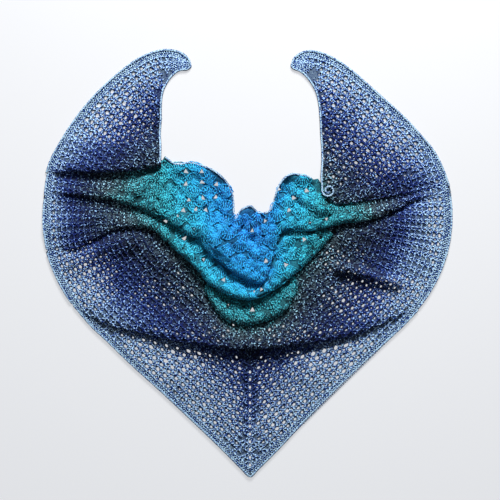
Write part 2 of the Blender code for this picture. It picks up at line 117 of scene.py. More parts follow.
# Row 0 of a grid shuts the fold behind its lip, rows 1 to 9 go round the roll of the lip, and
# the others go back from it.
FRONT, LIP_ROW = 9, 4
SHUT_BACK, SHUT_HEIGHT, SHUT_FLAT = 1.0, 0.4, 3.0
CRUMPLE_FROM, CRUMPLE_BY, CRUMPLE_LIP, CRUMPLE_IN = 0.40, 0.06, 4, 9
SMALLEST = 1e-6


def rows_of(kind, table):
    """A table with each of its rows as a named tuple."""
    return {name: [kind(*row) for row in rows] for name, rows in table.items()}


SECTIONS = rows_of(Section, {
    "lower_point": [
        (-350, -86, -342, -79), (-316, -126, -301, -112), (-283, -157, -259, -125),
        (-231, -207, -203, -137), (-171, -261, -143, -153), (-111, -317, -87, -161),
        (-55, -371, -43, -167), (-15, -411, -15, -169), (5, -429, 5, -170), (23, -413, 25, -169),
        (67, -369, 57, -167), (123, -309, 105, -160), (181, -251, 161, -151),
        (237, -197, 213, -139), (285, -153, 261, -123), (317, -123, 301, -107),
        (343, -95, 336, -87),
    ],
    "middle_net": [
        (-353, -81, -403, 23, 7, 5), (-335, -93, -375, 29, 8, 1), (-305, -109, -343, 31, 11),
        (-271, -123, -307, 49, 15), (-227, -133, -271, 67, 19), (-183, -143, -235, 73, 22),
        (-143, -153, -195, 71, 25), (-103, -159, -167, 47, 27), (-75, -163, -135, 19, 28),
        (-59, -166, -107, -9, 28), (-43, -167, -83, -57, 28), (-27, -169, -55, -101, 28),
        (-7, -169, -23, -119, 28), (13, -169, 9, -121, 28), (37, -169, 41, -111, 28),
        (69, -165, 73, -95, 28), (101, -161, 97, -61, 27), (133, -155, 113, -13, 25),
        (165, -151, 145, 27, 23), (197, -145, 181, 66, 21), (225, -137, 205, 81, 18),
        (253, -125, 237, 85, 15), (277, -115, 269, 97, 12), (299, -107, 299, 108, 10),
        (321, -97, 329, 125, 8, -2), (333, -93, 365, 135, 7, -8), (343, -91, 407, 141, 7, -26),
    ],
    "teal_band": [
        (-89, -47, -75, -39, 8), (-75, -73, -59, -51, 11), (-59, -97, -39, -61, 14),
        (-39, -114, -21, -68, 15), (-15, -121, -5, -71, 15), (9, -121, 9, -72, 15),
        (33, -115, 29, -67, 15), (57, -104, 49, -54, 14), (77, -91, 67, -42, 13),
        (91, -69, 83, -29, 11), (101, -51, 95, -18, 9),
    ],
    "fan_band": [
        (-403, 27, -407, 135, 7, 5), (-375, 29, -381, 135, 9), (-343, 31, -351, 137, 13),
        (-307, 49, -319, 133, 15), (-271, 67, -283, 129, 16), (-235, 73, -247, 121, 17),
        (-203, 73, -215, 111, 18), (-183, 65, -183, 99, 18), (-167, 49, -155, 85, 19),
        (-147, 31, -131, 67, 20), (-127, 15, -111, 53, 22), (-111, 1, -93, 45, 23),
        (-95, -17, -79, 25, 24), (-77, -39, -63, 11, 25), (-55, -53, -43, -5, 26),
        (-31, -65, -19, -23, 26), (-7, -71, 5, -35, 26), (17, -69, 25, -38, 25),
        (41, -59, 45, -24, 24), (63, -45, 57, 3, 22), (85, -27, 65, 28, 20),
        (105, -11, 73, 52, 18), (123, 7, 88, 64, 16), (141, 26, 111, 66, 14),
        (157, 41, 135, 67, 12), (173, 57, 157, 72, 9),
    ],
    "neck_lobes": [
        (-407, 135, -401, 181, 7, 1), (-381, 135, -377, 183, 9), (-351, 137, -347, 184, 13),
        (-319, 133, -315, 181, 16), (-283, 129, -279, 183, 18), (-247, 121, -243, 184, 19),
        (-215, 111, -207, 189, 20), (-183, 99, -183, 187, 21), (-170, 93, -167, 213, 22),
        (-157, 86, -160, 212, 22), (-135, 70, -141, 200, 22), (-115, 56, -115, 204, 21),
        (-99, 51, -89, 197, 19), (-89, 41, -67, 188, 18), (-81, 27, -47, 172, 19),
        (-71, 16, -33, 153, 21), (-59, 8, -26, 129, 22), (-45, -4, -24, 91, 23),
        (-29, -16, -18, 105, 24), (-11, -27, -3, 115, 24), (7, -35, 9, 116, 23),
        (23, -39, 21, 105, 20), (35, -31, 35, 103, 16), (43, -9, 46, 111, 12),
        (51, 13, 52, 131, 10), (57, 35, 59, 153, 11), (64, 57, 71, 171, 13),
        (77, 68, 89, 181, 15), (101, 66, 111, 178, 17), (127, 66, 127, 173, 19),
        (151, 71, 140, 155, 21), (170, 76, 153, 133, 23), (195, 82, 179, 118, 24),
        (221, 84, 209, 121, 24), (249, 89, 241, 127, 22), (277, 99, 273, 132, 19),
        (305, 111, 305, 137, 15), (331, 126, 333, 145, 11), (365, 135, 369, 151, 8),
        (407, 141, 404, 155, 7),
    ],
    "left_wing": [
        (-398, 201, -171, 211), (-389, 221, -171, 235), (-375, 245, -173, 259),
        (-359, 271, -171, 287), (-337, 302, -171, 311), (-311, 333, -170, 329),
        (-283, 361, -167, 345), (-253, 387, -161, 358), (-223, 409, -153, 370),
        (-193, 423, -143, 380), (-167, 429, -133, 385), (-143, 427, -123, 385),
        (-125, 419, -116, 388), (-114, 407, -111, 393),
    ],
    "right_wing": [
        (397, 179, 145, 173), (386, 205, 147, 203), (370, 232, 147, 231), (348, 257, 145, 259),
        (324, 284, 144, 287), (297, 310, 142, 313), (269, 335, 138, 335), (241, 360, 132, 350),
        (211, 386, 124, 363), (182, 407, 114, 375), (151, 422, 104, 383), (123, 427, 95, 386),
        (103, 421, 89, 389), (90, 410, 85, 395),
    ],
})
WING_LIPS = rows_of(Lip, {
    "left_wing": [
        (-404, 181, 7), (-377, 183, 14), (-347, 185, 19), (-312, 182, 22), (-277, 183, 23),
        (-243, 184, 24), (-208, 188, 24), (-172, 192, 20),
    ],
    "right_wing": [
        (405, 155, 7), (369, 151, 8), (327, 142, 8), (285, 134, 9), (243, 127, 11),
        (206, 121, 14), (176, 120, 15), (158, 130, 14), (147, 146, 12),
    ],
})
RIDGES = rows_of(Ridge, {
    "lower_point": [(-250, -170, -110, -245, 3, 30), (90, -225, 240, -165, 3, 28)],
    "middle_net": [
        (-345, 5, -235, 48, 12, 20), (-225, 40, -165, 0, 7, 18), (185, -8, 298, -38, 22, 9),
        (200, 55, 345, 95, 8, 26), (120, -60, 180, -70, 5, 22),
    ],
    "fan_band": [
        (-390, 70, -300, 98, 6, 18), (52, -35, 60, 40, 7, 14), (80, 50, 140, 52, 6, 12),
    ],
    "neck_lobes": [
        (-135, 190, -60, 178, 8, 14), (-50, 168, -32, 110, 9, 13), (-222, 142, -178, 186, 9, 9),
        (-235, 150, -165, 160, 7, 14), (-110, 120, -60, 70, 6, 30), (-34, 96, -58, 34, 14, 9),
        (-8, 104, -30, 44, 13, 8), (10, 112, 12, 62, 14, 8), (-14, 48, 20, 14, 11, 10),
        (34, 96, 30, 26, 13, 9), (52, 140, 66, 172, 12, 10), (-96, 66, -40, 12, 10, 9),
        (-118, 150, -84, 122, 6, 12), (80, 178, 138, 166, 9, 12), (58, 120, 50, 60, 8, 13),
        (104, 140, 150, 112, 11, 14), (150, 112, 230, 104, 10, 12),
    ],
    "left_wing": [(-350, 240, -200, 232, 5, 24), (-180, 290, -172, 330, 3, 20)],
    "right_wing": [(180, 190, 330, 185, 6, 26), (230, 230, 330, 250, 4, 30)],
})

# The yarn changes colour from the neck outwards: tone 0 is the pale outer edge, 0.15 to 0.28
# navy, up to 0.4 black, up to 0.6 teal and then blue. near and far are the tones at the lip
# and at the far edge, and for a wing at its outer and its inner edge.
TONES = rows_of(Tone, {
    "lower_point": [
        (0, 0, 0.03), (0.2, 0, 0.09), (0.32, 0, 0.17), (0.44, 0, 0.25), (0.5, 0, 0.31),
        (0.56, 0, 0.25), (0.68, 0, 0.17), (0.8, 0, 0.09), (1, 0, 0.03),
    ],
    "middle_net": [
        (0, 0, 0.01), (0.08, 0.04, 0.17), (0.15, 0.12, 0.27), (0.23, 0.2, 0.36),
        (0.31, 0.25, 0.4), (0.42, 0.31, 0.41), (0.5, 0.33, 0.41), (0.62, 0.27, 0.4),
        (0.7, 0.22, 0.39), (0.77, 0.16, 0.36), (0.85, 0.09, 0.29), (0.93, 0.03, 0.15), (1, 0, 0),
    ],
    "teal_band": [(0, 0.43, 0.47), (1, 0.43, 0.47)],
    "fan_band": [
        (0, 0, 0), (0.04, 0.1, 0.1), (0.08, 0.2, 0.21), (0.13, 0.29, 0.31), (0.19, 0.36, 0.38),
        (0.23, 0.4, 0.41), (0.28, 0.43, 0.45), (0.36, 0.47, 0.51), (0.56, 0.53, 0.6),
        (0.68, 0.55, 0.64), (0.8, 0.51, 0.58), (0.92, 0.47, 0.49), (1, 0.44, 0.45),
    ],
    "neck_lobes": [
        (0, 0, 0), (0.026, 0.13, 0.13), (0.05, 0.22, 0.22), (0.075, 0.31, 0.3), (0.1, 0.38, 0.36),
        (0.13, 0.42, 0.4), (0.17, 0.45, 0.44), (0.23, 0.48, 0.49), (0.31, 0.54, 0.63),
        (0.38, 0.6, 0.74), (0.5, 0.64, 0.85), (0.6, 0.63, 0.74), (0.69, 0.55, 0.58),
        (0.77, 0.47, 0.48), (0.83, 0.44, 0.44), (0.87, 0.4, 0.39), (0.9, 0.34, 0.33),
        (0.94, 0.25, 0.23), (0.975, 0.1, 0.08), (1, 0, 0),
    ],
    "left_wing": [
        (0, 0, 0.35, 0.5), (0.12, 0, 0.35, 0.7), (0.3, 0, 0.31), (0.45, 0, 0.25), (0.6, 0, 0.19),
        (0.75, 0, 0.13), (1, 0, 0.03),
    ],
    "right_wing": [
        (0, 0, 0.424, 0.55), (0.05, 0, 0.42, 0.6), (0.11, 0, 0.38, 0.7), (0.3, 0, 0.3, 0.8),
        (0.5, 0, 0.23, 0.9), (0.7, 0, 0.17), (0.85, 0, 0.1), (1, 0, 0.03),
    ],
})


def spline(values, positions):
    """Catmull-Rom curve through evenly numbered rows of values."""
    values = np.asarray(values, float)
    last = len(values) - 1
    at = np.clip(positions, 0, last)
    index = np.minimum(at.astype(int), last - 1)
    f = (at - index)[:, None]
    a, b = values[np.maximum(index - 1, 0)], values[index]
    c, d = values[index + 1], values[np.minimum(index + 2, last)]
    return 0.5 * (2 * b + (c - a) * f + (2 * a - 5 * b + 4 * c - d) * f ** 2
                  + (3 * b - a - 3 * c + d) * f ** 3)


def smoothstep(value):
    value = np.clip(value, 0, 1)
    return value * value * (3 - 2 * value)


def unit(vectors):
    return vectors / np.maximum(np.linalg.norm(vectors, axis=-1, keepdims=True), SMALLEST)


def cross(u, v):
    return u[..., 0] * v[..., 1] - u[..., 1] * v[..., 0]


def run_along(points):
    """The distance run at each point of a line, from 0 at its start."""
    return np.concatenate([[0], np.cumsum(np.hypot(*np.diff(points, axis=0).T))])


def points_at(distance, run, line):
    return np.stack([np.interp(distance, run, column) for column in line.T], axis=-1)


def blurred(values, reach, width, **ends):
    """Values smoothed along a row, which np.pad carries on at both ends."""
    soft = np.exp(-(np.arange(-reach, reach + 1) / width) ** 2)
    return np.convolve(np.pad(values, reach, **ends), soft / soft.sum(), mode="valid")


def ridge_height(name, x, y):
    total = np.zeros_like(x)
    for start_x, start_y, end_x, end_y, height, width in RIDGES.get(name, []):
        dx, dy = end_x - start_x, end_y - start_y
        along = ((x - start_x) * dx + (y - start_y) * dy) / (dx * dx + dy * dy)
        nearest = np.clip(along, 0, 1)
        off = np.hypot(x - start_x - dx * nearest, y - start_y - dy * nearest)
        total += height * np.exp(-(off / width) ** 2)
    return total


def crumple(x, y):
    """Small bumps and creases of the lace, in millimetres."""
    creases = np.abs(np.sin((x + 0.7 * y) / 11 + 1.6 * np.sin(y / 23)))
    across = np.abs(np.sin((0.5 * x - y) / 13 + 1.3 * np.sin(x / 19)))
    bumps = np.sin(x / 6.1 + 1.2 * np.sin(y / 13)) * np.sin(y / 7.3 + 0.9 * np.sin(x / 17))
    return 3.0 * creases ** 0.6 + 2.2 * across ** 0.6 - 3.6 + 1.1 * bumps


def section_points(rows, steps):
    """Points along each section from its low end to its high end, with its bow."""
    share = np.linspace(0, 1, steps + 1)
    x, y, high_x, high_y, _, bow = rows.T[..., None]
    dx, dy = high_x - x, high_y - y
    length = np.hypot(dx, dy)
    bow = bow * 4 * share * (1 - share)
    return np.stack([x + dx * share - dy / length * bow,
                     y + dy * share + dx / length * bow], axis=-1)


class Stretch:
    """One stretch as a grid: where each point lies on the pattern and where in space."""

    def __init__(self, name):
        wing, free_lip = name in WING_LIPS, name == "lower_point"
        make, table = MAKES[name], SECTIONS[name]
        share = np.linspace(0, 1, make.lines)
        if wing:
            across = spline(table, np.linspace(0, len(table) - 1, 3 * len(table) - 2))
            lips = spline(WING_LIPS[name], share * (len(WING_LIPS[name]) - 1))
            low, high = across[:, None, :2], across[:, None, 2:4]
            rungs = low + (high - low) * share[None, :, None]
            lines = np.concatenate([lips[:, None, :2], rungs.transpose(1, 0, 2)], axis=1)
            heights, tucked = lips[:, 2], np.zeros(make.lines, bool)
        else:
            rows = spline(table, share * (len(table) - 1))
            lines, heights = section_points(rows, 8), rows[:, 4]
            free = (share > NECK_SHARES[0]) & (share < NECK_SHARES[1])
            tucked = ~free if name == "neck_lobes" else np.ones(make.lines, bool)
        from_start = run_along(lines[:, 0])
        shown = np.ones(make.lines)
        for run, reach in ((from_start, make.fade_start),
                           (from_start[-1] - from_start, make.fade_end)):
            if reach:
                shown *= smoothstep(run / reach)
        row_step = CREASED_STEP if name == "neck_lobes" else ROW_STEP
        back = max(6, int(max(run_along(line)[-1] for line in lines) / row_step))
        turns = np.radians(np.linspace(-90, 90, FRONT))
        flat, space, spread = [], [], []
        for index, line in enumerate(lines):
            # The roll of the lip, from under it round to its crest.
            measure = run_along(line)
            length = measure[-1]
            roll = min(ROLL, LONGEST_ROLL * length)
            if free_lip:
                roll = min(WALL / 2, roll)
            start, end = STEP_START, STEP_END
            if end > SHORT_STEP[1] * length:
                start, end = [part * length for part in SHORT_STEP]
            under = FLUSH_UNDER + (WALL + LAYER_GAP - FLUSH_UNDER) * shown[index]
            under = 0.0 if free_lip else under
            crest = FLUSH_LIP + (heights[index] - FLUSH_LIP) * shown[index]
            crest = max(crest, under + WALL)
            middle, rise = (crest + under) / 2, (crest - under) / 2
            reach = min(FOLD_REACH, FOLD_SHARE * (length - roll))
            distance = np.append(np.linspace(roll, length, back + 1)[1:],
                                 length + (TUCK if tucked[index] else OVERHANG))
            front = roll * (1 - np.cos(turns))
            front_z = middle + rise * np.sin(turns)
            arc = run_along(np.column_stack([front, front_z]))

            def place(s):
                past, before = np.maximum(s - length, 0), np.minimum(s, 0)
                return (points_at(s, measure, line)
                        + unit(line[-1] - line[-2]) * past[:, None]
                        + unit(line[1] - line[0]) * before[:, None])

            # The fold falls off behind its lip, is hollow there, and then lies flat.
            xy = place(distance)
            sunk = smoothstep((distance - roll) / reach)
            height = WALL + (crest - WALL) * (1 - sunk)
            fade = smoothstep((distance - roll) / EDGE_FADE)
            if tucked[index]:
                fade = fade * smoothstep((length - distance) / EDGE_FADE)
            height = height + ridge_height(name, xy[:, 0], xy[:, 1]) * fade
            above = np.maximum(height - FREE_HEIGHT, 0)
            height = np.minimum(height, FREE_HEIGHT) + SPARE_HEIGHT * (
                1 - np.exp(-above / SPARE_HEIGHT))
            hollow = smoothstep((distance - end) / HOLLOW_FADE)
            low = np.where(distance <= start, under,
                           np.maximum(0, height - WALL - LIFT) * hollow)
            z = np.maximum(height, low + WALL)
            if not tucked[index]:
                z[-1] = max(low[-1], LOW_EDGE)
            space.append(np.column_stack([
                np.concatenate([place(np.array([roll + SHUT_BACK])), place(front), xy]),
                np.concatenate([[SHUT_HEIGHT], front_z, z])]))
            unrolled = roll - (arc[-1] - arc)
            flat.append(place(np.concatenate([[unrolled[0] - SHUT_FLAT], unrolled, distance])))
            whole = np.concatenate([[0.0], front, distance])
            spread.append(np.column_stack([np.full(len(whole), share[index]),
                                           np.clip(whole / length, 0, 1), whole]))
        self.flat, self.space, self.spread = np.array(flat), np.array(space), np.array(spread)
        self.tuck_under(tucked, make.tail)
        self.points = self.flat.reshape(-1, 2)
        along, across = self.spread[..., 0], self.spread[..., 1]
        if wing:
            along, across = across, along
        tones = np.array(TONES[name])
        near, far, bend = points_at(along, tones[:, 0], tones[:, 1:]).transpose(2, 0, 1)
        self.tone = near + (far - near) * across ** bend
        soft = (smoothstep((self.tone - CRUMPLE_FROM) / CRUMPLE_BY)
                * smoothstep((self.spread[..., 2] - CRUMPLE_LIP) / CRUMPLE_IN))
        soft[:, -3:] = 0
        self.space[..., 2] += crumple(self.space[..., 0], self.space[..., 1]) * soft
        normal = unit(np.cross(np.gradient(self.space, axis=0), np.gradient(self.space, axis=1)))
        self.normal = normal if normal[:, FRONT + 3, 2].mean() > 0 else -normal
        rows = self.flat.shape[1]
        a = (np.arange(make.lines - 1)[:, None] * rows + np.arange(rows - 1)[None]).ravel()
        self.cells = np.concatenate([np.column_stack([a, a + rows, a + rows + 1]),
                                     np.column_stack([a, a + rows + 1, a + 1])])
        points = [Vector((x, y, 0)) for x, y in self.points]
        self.tree = BVHTree.FromPolygons(points, self.cells.tolist(), all_triangles=True)

    def tuck_under(self, tucked, longest):
        """Turn the last row of a tucked edge square to it, and well under the next fold."""
        edge = self.flat[:, -2]
        heading = unit(np.gradient(edge, axis=0))
        out = np.column_stack([-heading[:, 1], heading[:, 0]])
        out *= np.sign((out * (edge - self.flat[:, -4])).sum(axis=1).mean())
        for line in np.flatnonzero(tucked):
            from_end = min(line, len(tucked) - 1 - line) / TAIL_RUN
            tail = max(longest * min(1, from_end), LOW_EDGE)
            self.flat[line, -1] = edge[line] + out[line] * tail
            self.space[line, -1] = (*self.flat[line, -1], TAIL_HEIGHT)

    def area(self):
        corner = self.points[self.cells]
        return 0.5 * np.abs(cross(corner[:, 1] - corner[:, 0],
                                  corner[:, 2] - corner[:, 0])).sum()

    def nearest(self, x, y):
        """The number of the grid point that is nearest to a point of the pattern."""
        return np.hypot(*(self.points - (x, y)).T).argmin()

    def wrap(self, pattern):
        """Places, normals and tones of points of the pattern, and which of them lie on it."""
        shape = pattern.shape[:-1]
        pattern = pattern.reshape(-1, 2)
        cast, down = self.tree.ray_cast, Vector((0, 0, -1))
        found = [cast(Vector((x, y, 5)), down)[2] for x, y in pattern]
        on = np.array([f is not None for f in found])
        face = self.cells[np.array([0 if f is None else f for f in found])]
        corner = self.points[face]
        u, v = corner[:, 1] - corner[:, 0], corner[:, 2] - corner[:, 0]
        w = pattern - corner[:, 0]
        area = cross(u, v)
        area = np.where(np.abs(area) < 1e-9, 1e-9, area)
        b, c = cross(w, v) / area, cross(u, w) / area
        weight = np.stack([1 - b - c, b, c], axis=1)[:, :, None]
        place = (self.space.reshape(-1, 3)[face] * weight).sum(axis=1)
        normal = unit((self.normal.reshape(-1, 3)[face] * weight).sum(axis=1))
        tone = (self.tone.ravel()[face] * weight[:, :, 0]).sum(axis=1)
        return (place.reshape(*shape, 3), normal.reshape(*shape, 3),
                tone.reshape(shape), on.reshape(shape))


stretches = {name: Stretch(name) for name in SECTIONS}

# The rows of the net run along the outer edge and meet in a mitre on the spine. A side is the
# outer edge from the bottom point up to one tip, and the pattern is measured along it and in.
SPINE_X = 5.0
SIDE_EDGES = {
    "left": [(5, -429), (-49, -378), (-102, -328), (-156, -277), (-209, -227), (-263, -176),
             (-316, -126), (-362, -68), (-394, -4), (-408, 66), (-407, 135), (-394, 205),
             (-359, 271), (-311, 333), (-253, 387), (-193, 423), (-143, 427), (-114, 407)],
    "right": [(5, -429), (57, -378), (109, -327), (161, -276), (213, -225), (265, -174),
              (317, -123), (362, -68), (393, 0), (407, 70), (405, 141), (386, 205),
              (348, 257), (297, 310), (241, 360), (182, 407), (123, 427), (90, 410)],
    "left_tip": [(-114, 407), (-115, 395), (-118, 387), (-133, 385), (-143, 380), (-153, 370),
                 (-161, 358), (-167, 345)],
    "right_tip": [(90, 410), (86, 398), (90, 388), (104, 383), (114, 375), (124, 363),
                  (132, 350)],
}


class Side:
    def __init__(self, name):
        dense = spline(SIDE_EDGES[name], np.linspace(0, len(SIDE_EDGES[name]) - 1, 900))
        run = run_along(dense)
        self.measure = np.arange(0, run[-1], 2.0)
        self.edge = points_at(self.measure, run, dense)
        heading = np.unwrap(np.arctan2(*np.gradient(self.edge, axis=0).T[::-1]))
        self.heading = blurred(heading, 30, 12.0, mode="edge")
        self.turn = -1 if name.startswith("left") else 1
        self.bend = np.gradient(self.heading, self.measure) * self.turn

    def at(self, along, inward):
        """Pattern points at a measure along the edge and a depth inward from it."""
        x, y, heading = [np.interp(along, self.measure, values)
                         for values in (*self.edge.T, self.heading)]
        return np.stack([x - self.turn * np.sin(heading) * inward,
                         y + self.turn * np.cos(heading) * inward], axis=-1)


sides = {name: Side(name) for name in SIDE_EDGES}

# How far the net is pulled open: in the single layers near the edge its holes show the table.
# Each row has the middle of a window, its reach along x and y, and the amount.
LEAST_OPEN = 0.08
WINDOWS = [
    (-170, -195, 105, 62, 1.0), (175, -190, 105, 62, 1.0), (-60, -285, 95, 75, 0.75),
    (70, -285, 95, 75, 0.75), (5, -230, 60, 60, 0.7), (-330, -30, 62, 66, 1.0),
    (-385, 60, 16, 90, 0.35), (383, 70, 26, 95, 0.75), (300, -60, 75, 48, 0.6),
    (230, -75, 85, 45, 0.7), (-270, 305, 80, 68, 1.0), (-205, 370, 50, 40, 0.5),
    (270, 250, 100, 85, 0.85), (190, 350, 60, 60, 0.7), (180, 220, 40, 70, 0.6),
    (90, -140, 130, 26, 0.45), (-60, -140, 110, 26, 0.3), (-160, -60, 90, 60, 0.3),
    (190, 10, 60, 45, 0.4),
]


def openness(x, y):
    best = np.full_like(x, LEAST_OPEN)
    for mid_x, mid_y, reach_x, reach_y, amount in WINDOWS:
        off = ((x - mid_x) / reach_x) ** 2 + ((y - mid_y) / reach_y) ** 2
        best = np.maximum(best, amount * np.exp(-off ** 1.6))
    return best


# Net cells: one V of two posts in each, worked into the space of the V before it.
Cell = namedtuple("Cell", "side along inward width height")
NET_PITCH, NET_ROW, WIDE_FROM, WIDE_BY, DEEPEST = 19.6, 11.3, 150.0, 1.26, 420
BORDER, CLEAR_OF_SPINE = 15.0, 0.45
DROPPED, QUARTERED, HALVED = 0.16, 0.31, 0.62
net_cells = []
for name in ("left", "right"):
    side = sides[name]
    inward = BORDER + NET_ROW / 2
    while inward < DEEPEST:
        by = WIDE_BY if inward > WIDE_FROM else 1
        pitch, tall = NET_PITCH * by, NET_ROW * by
        for k in range(1, int(side.measure[-1] / pitch)):
            squeeze = 1 - inward * np.interp(k * pitch, side.measure, side.bend)
            skip = 1 if squeeze > HALVED else 2 if squeeze > QUARTERED else 4
            if squeeze < DROPPED or k % skip:
                continue
            x = side.at(k * pitch, inward)[0]
            if (x - SPINE_X) * side.turn >= CLEAR_OF_SPINE * pitch:
                net_cells.append(Cell(name, k * pitch, inward, pitch * skip, tall))
        inward += tall


def cell_points(cells, u, v):
    """Pattern points for cell shares: u along the row, v outward from 0 to 1 over the row."""
    out = np.zeros((len(cells), *np.shape(u)[-1:], 2))
    for name, side in sides.items():
        pick = [k for k, cell in enumerate(cells) if cell.side == name]
        if not pick:
            continue
        along, inward, width, height = np.array([cells[k][1:] for k in pick]).T[..., None]
        uu = np.broadcast_to(u, (len(cells), u.shape[-1]))[pick]
        vv = np.broadcast_to(v, (len(cells), v.shape[-1]))[pick]
        out[pick] = side.at(along + uu * width, inward - (vv - 0.5) * height)
    return out


def cells_on(stretch, cells):
    """The cells whose middle lies on a stretch."""
    middle = cell_points(cells, np.zeros(1), np.full(1, 0.5))[:, 0]
    return [cell for cell, hit in zip(cells, stretch.wrap(middle)[3]) if hit]


def make_piece(name, verts, faces, values, material, slot):
    """A piece from arrays, in millimetres, with one number for each point under each name."""
    mesh = bpy.data.meshes.new(name)
    mesh.from_pydata((verts * MM).tolist(), [], faces)
    mesh.shade_smooth()
    for key, numbers in values.items():
        layer = mesh.attributes.new(key, "FLOAT", "POINT")
        layer.data.foreach_set("value", numbers.astype(np.float32).ravel())
    mesh.materials.append(material)
    made = bpy.data.objects.new(name, mesh)
    bpy.context.scene.collection.objects.link(made)
    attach(made, "root")
    return made


FLOOR_CLEAR, THIN_END = 0.05, 0.6


def strands(points, normals, tones, radius):
    """Four-sided tubes along rows of points, thinner at both ends, as verts, faces, values."""
    count, steps = points.shape[:2]
    ahead = unit(np.gradient(points, axis=1))
    beside = unit(np.cross(ahead, normals))
    above = np.cross(beside, ahead)
    size = np.full((steps, 1, 1), float(radius))
    size[[0, -1]] *= THIN_END
    turns = np.radians([45, 135, 225, 315])[:, None]
    rings = points[:, :, None] + size * (
        np.cos(turns) * beside[:, :, None] + np.sin(turns) * above[:, :, None])
    rings[..., 2] = np.maximum(rings[..., 2], FLOOR_CLEAR)
    a = (np.arange(count)[:, None] * steps + np.arange(steps - 1)[None]).ravel() * 4
    faces = np.concatenate([np.column_stack([a + k, a + (k + 1) % 4, a + 4 + (k + 1) % 4,
                                             a + 4 + k]) for k in range(4)])
    run = np.cumsum(np.linalg.norm(np.diff(points, axis=1, prepend=points[:, :1]), axis=-1),
                    axis=1) + chance.uniform(0, 50, (count, 1))
    tone = tones + chance.normal(0, 0.012, (count, 1))
    return (rings.reshape(-1, 3), faces,
            {"tone": np.repeat(tone.ravel(), 4), "run": np.repeat(run.ravel(), 4)})


def join(parts):
    shifts = np.cumsum([0] + [len(verts) for verts, _, _ in parts])
    return (np.concatenate([verts for verts, _, _ in parts]),
            np.concatenate([faces + by for (_, faces, _), by in zip(parts, shifts)]).tolist(),
            {key: np.concatenate([values[key] for _, _, values in parts])
             for key in ("tone", "run")})


# Yarn: two plies twisted together, a light and a dark one. Their colours change with the
# tone, and flecks of the light ply come and go along the strand.
def add(tree, kind, inputs, **settings):
    """A new node with its settings, and with numbers or links on its inputs."""
    node = tree.nodes.new("ShaderNode" + kind)
    for key, value in settings.items():
        setattr(node, key, value)
    connect(tree, node, inputs)
    return node


def connect(tree, node, inputs):
    for key, value in inputs.items():
        if isinstance(value, bpy.types.NodeSocket):
            tree.links.new(value, node.inputs[key])
        else:
            node.inputs[key].default_value = value


marl = bpy.data.node_groups.new("marled_yarn", "ShaderNodeTree")
for name in ("Tone", "Run", "Lightness", "Paleness"):
    marl.interface.new_socket(name, in_out="INPUT", socket_type="NodeSocketFloat")
marl.interface.new_socket("Color", in_out="OUTPUT", socket_type="NodeSocketColor")
marl.interface.new_socket("Height", in_out="OUTPUT", socket_type="NodeSocketFloat")
given = marl.nodes.new("NodeGroupInput").outputs
result = marl.nodes.new("NodeGroupOutput")
where = marl.nodes.new("ShaderNodeTexCoord").outputs["Object"]


def ramp(stops):
    """The colour for the tone, from pairs of a tone and a colour."""
    node = add(marl, "ValToRGB", {"Fac": given["Tone"]})
    elements = node.color_ramp.elements
    while len(elements) > 1:
        elements.remove(elements[-1])
    elements[0].position, elements[0].color = stops[0][0], (*stops[0][1], 1)
    for position, color in stops[1:]:
        elements.new(position).color = (*color, 1)
    return node.outputs["Color"]


def maths(operation, *values):
    return add(marl, "Math", dict(enumerate(values)), operation=operation).outputs["Value"]


def noise(scale):
    return add(marl, "TexNoise", {"Vector": where, "Scale": scale, "Detail": 2}).outputs["Fac"]


dark = ramp([(0.0, (0.026, 0.09, 0.35)), (0.12, (0.009, 0.038, 0.25)),
             (0.2, (0.004, 0.018, 0.15)), (0.28, (0.002, 0.011, 0.075)),
             (0.37, (0.001, 0.013, 0.04)), (0.42, (0.002, 0.035, 0.05)),
             (0.47, (0.002, 0.11, 0.16)), (0.54, (0.003, 0.16, 0.31)),
             (0.62, (0.003, 0.15, 0.44)), (0.8, (0.002, 0.10, 0.44))])
light = ramp([(0.0, (0.55, 0.80, 1.0)), (0.12, (0.45, 0.70, 1.0)), (0.2, (0.29, 0.52, 1.0)),
              (0.28, (0.37, 0.64, 1.0)), (0.37, (0.47, 0.82, 1.0)), (0.4, (0.24, 0.68, 0.78)),
              (0.43, (0.09, 0.60, 0.72)), (0.47, (0.055, 0.62, 0.74)),
              (0.54, (0.045, 0.67, 0.96)), (0.62, (0.03, 0.52, 0.97)),
              (0.8, (0.03, 0.44, 1.0))])
part_light = ramp([(tone, (part,) * 3) for tone, part in (
    (0.0, 0.55), (0.1, 0.41), (0.17, 0.18), (0.22, 0.10), (0.28, 0.11), (0.37, 0.17),
    (0.44, 0.35), (0.55, 0.54))])
# The twist of the plies, blurred, then roughened by the fibres.
blur, grain = noise(110), noise(250)
turn = maths("ADD", maths("MULTIPLY", given["Run"], 0.15), maths("MULTIPLY", blur, 2.0))
twist = maths("SINE", maths("MULTIPLY", turn, 2 * math.pi))
wave = maths("ADD", maths("MULTIPLY", twist, 0.36), 0.5)
rough = maths("MULTIPLY", maths("SUBTRACT", grain, 0.5), 1.3)
mask = maths("ADD", maths("SUBTRACT", maths("ADD", wave, rough), 0.92), part_light)
mask = maths("MULTIPLY", maths("ADD", mask, given["Paleness"]), 9.0)
clamped = add(marl, "Clamp", {"Value": mask}).outputs["Result"]
mixed = add(marl, "Mix", {"Factor": clamped, "A": dark, "B": light}, data_type="RGBA")
# Lightness darkens the whole colour. Below 1, as on the ground under the strands, it paints
# shade.
shade = add(marl, "Mix", {"Factor": 1.0, "A": mixed.outputs["Result"], "B": given["Lightness"]},
            data_type="RGBA", blend_type="MULTIPLY")
connect(marl, result, {"Color": shade.outputs["Result"], "Height": grain})


